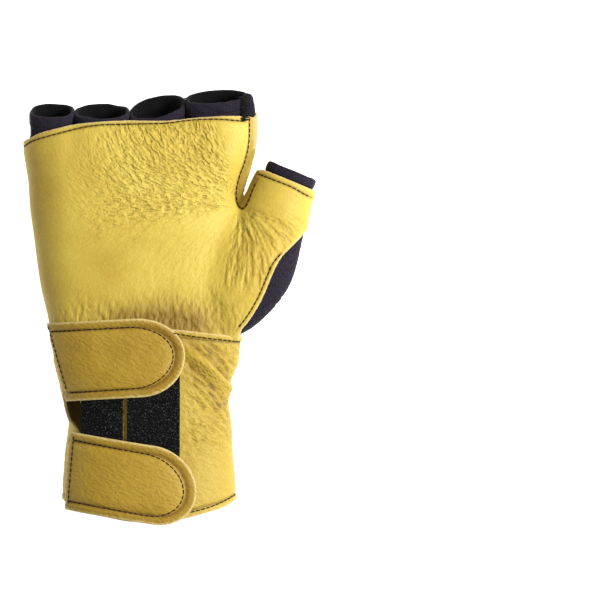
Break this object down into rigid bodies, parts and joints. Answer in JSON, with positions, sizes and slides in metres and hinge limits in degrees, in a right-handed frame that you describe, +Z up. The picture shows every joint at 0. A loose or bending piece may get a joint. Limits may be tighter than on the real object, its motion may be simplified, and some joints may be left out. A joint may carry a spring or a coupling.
{
  "type": "half-finger impact work glove",
  "caption": "Right-hand half-finger work glove with a leather palm, a stretch knit back and a strapped leather wrist cuff, lying palm up.",
  "frame": {"origin": "middle of the surface the glove lies on, under the middle of its box", "axes": "+Y runs from the cuff to the fingers, +X to the thumb's side, +Z up from the back of the hand to the palm"},
  "size_m": [0.151, 0.2258, 0.0459],
  "materials": {
    "knit": "matt navy stretch knit",
    "leather": "soft yellow grain leather, satin",
    "loop_tape": "black napped loop tape",
    "hook_tape": "black hook tape"
  },
  "bodies": {
    "root": {"knit_shell": "knit", "little_hem": "knit", "ring_hem": "knit", "middle_hem": "knit", "index_hem": "knit", "thumb_hem": "knit", "palm_leather": "leather", "web_leather": "leather", "wrist_cuff": "leather", "upper_strap": "leather", "lower_strap": "leather", "inner_loop_tape": "loop_tape", "outer_loop_tape": "loop_tape", "upper_hook_tape": "hook_tape", "lower_hook_tape": "hook_tape"}
  },
  "joints": []
}
